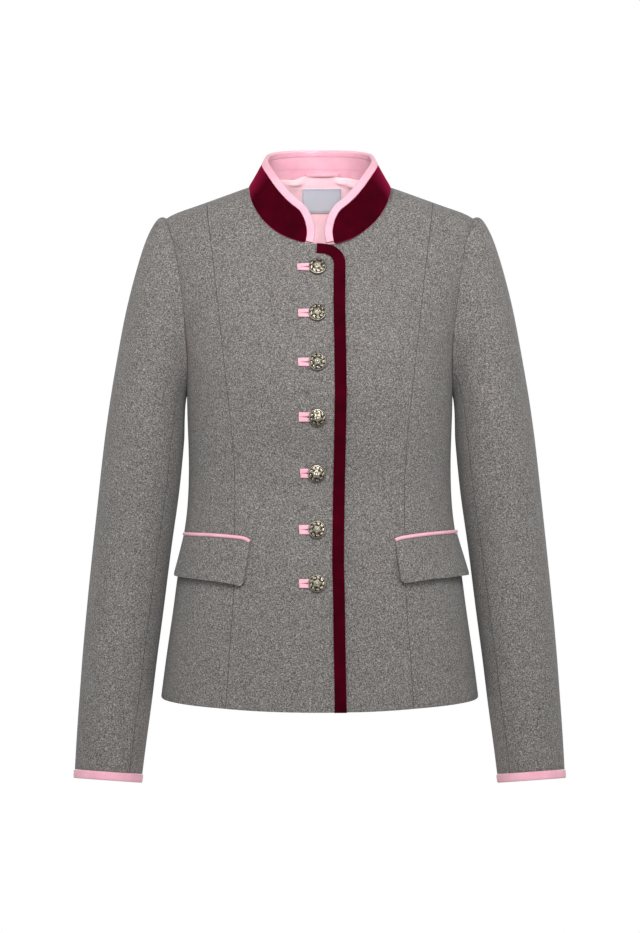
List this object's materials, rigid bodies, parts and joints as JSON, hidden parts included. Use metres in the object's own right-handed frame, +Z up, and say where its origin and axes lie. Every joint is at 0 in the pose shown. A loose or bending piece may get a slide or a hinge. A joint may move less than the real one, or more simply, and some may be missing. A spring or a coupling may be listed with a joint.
{
  "type": "trachten jacket",
  "caption": "Short fitted wool jacket with a velvet stand collar, bound edges, domed buttons, pocket flaps and long two-piece sleeves, filled out as when worn.",
  "frame": {"origin": "middle of the neck at the height of the shoulder-neck points, where the wearer's shoulders hold the jacket", "axes": "+Z up, -Y out of the front, +X towards the wearer's left"},
  "size_m": [0.563, 0.2434, 0.7331],
  "materials": {
    "wool_cloth": "milled grey melange wool cloth, matt, with a light nap",
    "velvet": "dark burgundy cotton velvet, brighter at grazing angles",
    "pink_trim": "light pink cotton cloth, matt",
    "satin_lining": "light pink satin lining with a soft sheen",
    "label_cloth": "plain grey woven label, smooth",
    "button_metal": "antique silver, darkened in the recesses"
  },
  "bodies": {
    "root": {"front_right": "wool_cloth", "front_left": "wool_cloth", "side_front_left": "wool_cloth", "side_front_right": "wool_cloth", "side_back_left": "wool_cloth", "side_back_right": "wool_cloth", "back_left": "wool_cloth", "back_right": "wool_cloth", "top_sleeve_left": "wool_cloth", "top_sleeve_right": "wool_cloth", "under_sleeve_left": "wool_cloth", "under_sleeve_right": "wool_cloth", "flap_left": "wool_cloth", "flap_right": "wool_cloth", "collar_velvet": "velvet", "front_edge_band": "velvet", "collar_inner": "pink_trim", "collar_binding": "pink_trim", "cuff_binding_left": "pink_trim", "cuff_binding_right": "pink_trim", "hanger_loop": "pink_trim", "flap_piping_left": "pink_trim", "flap_piping_right": "pink_trim", "buttonhole_1": "pink_trim", "buttonhole_2": "pink_trim", "buttonhole_3": "pink_trim", "buttonhole_4": "pink_trim", "buttonhole_5": "pink_trim", "buttonhole_6": "pink_trim", "buttonhole_7": "pink_trim", "lining_back_neck": "satin_lining", "neck_label": "label_cloth", "button_1": "button_metal", "button_2": "button_metal", "button_3": "button_metal", "button_4": "button_metal", "button_5": "button_metal", "button_6": "button_metal", "button_7": "button_metal"}
  },
  "joints": []
}
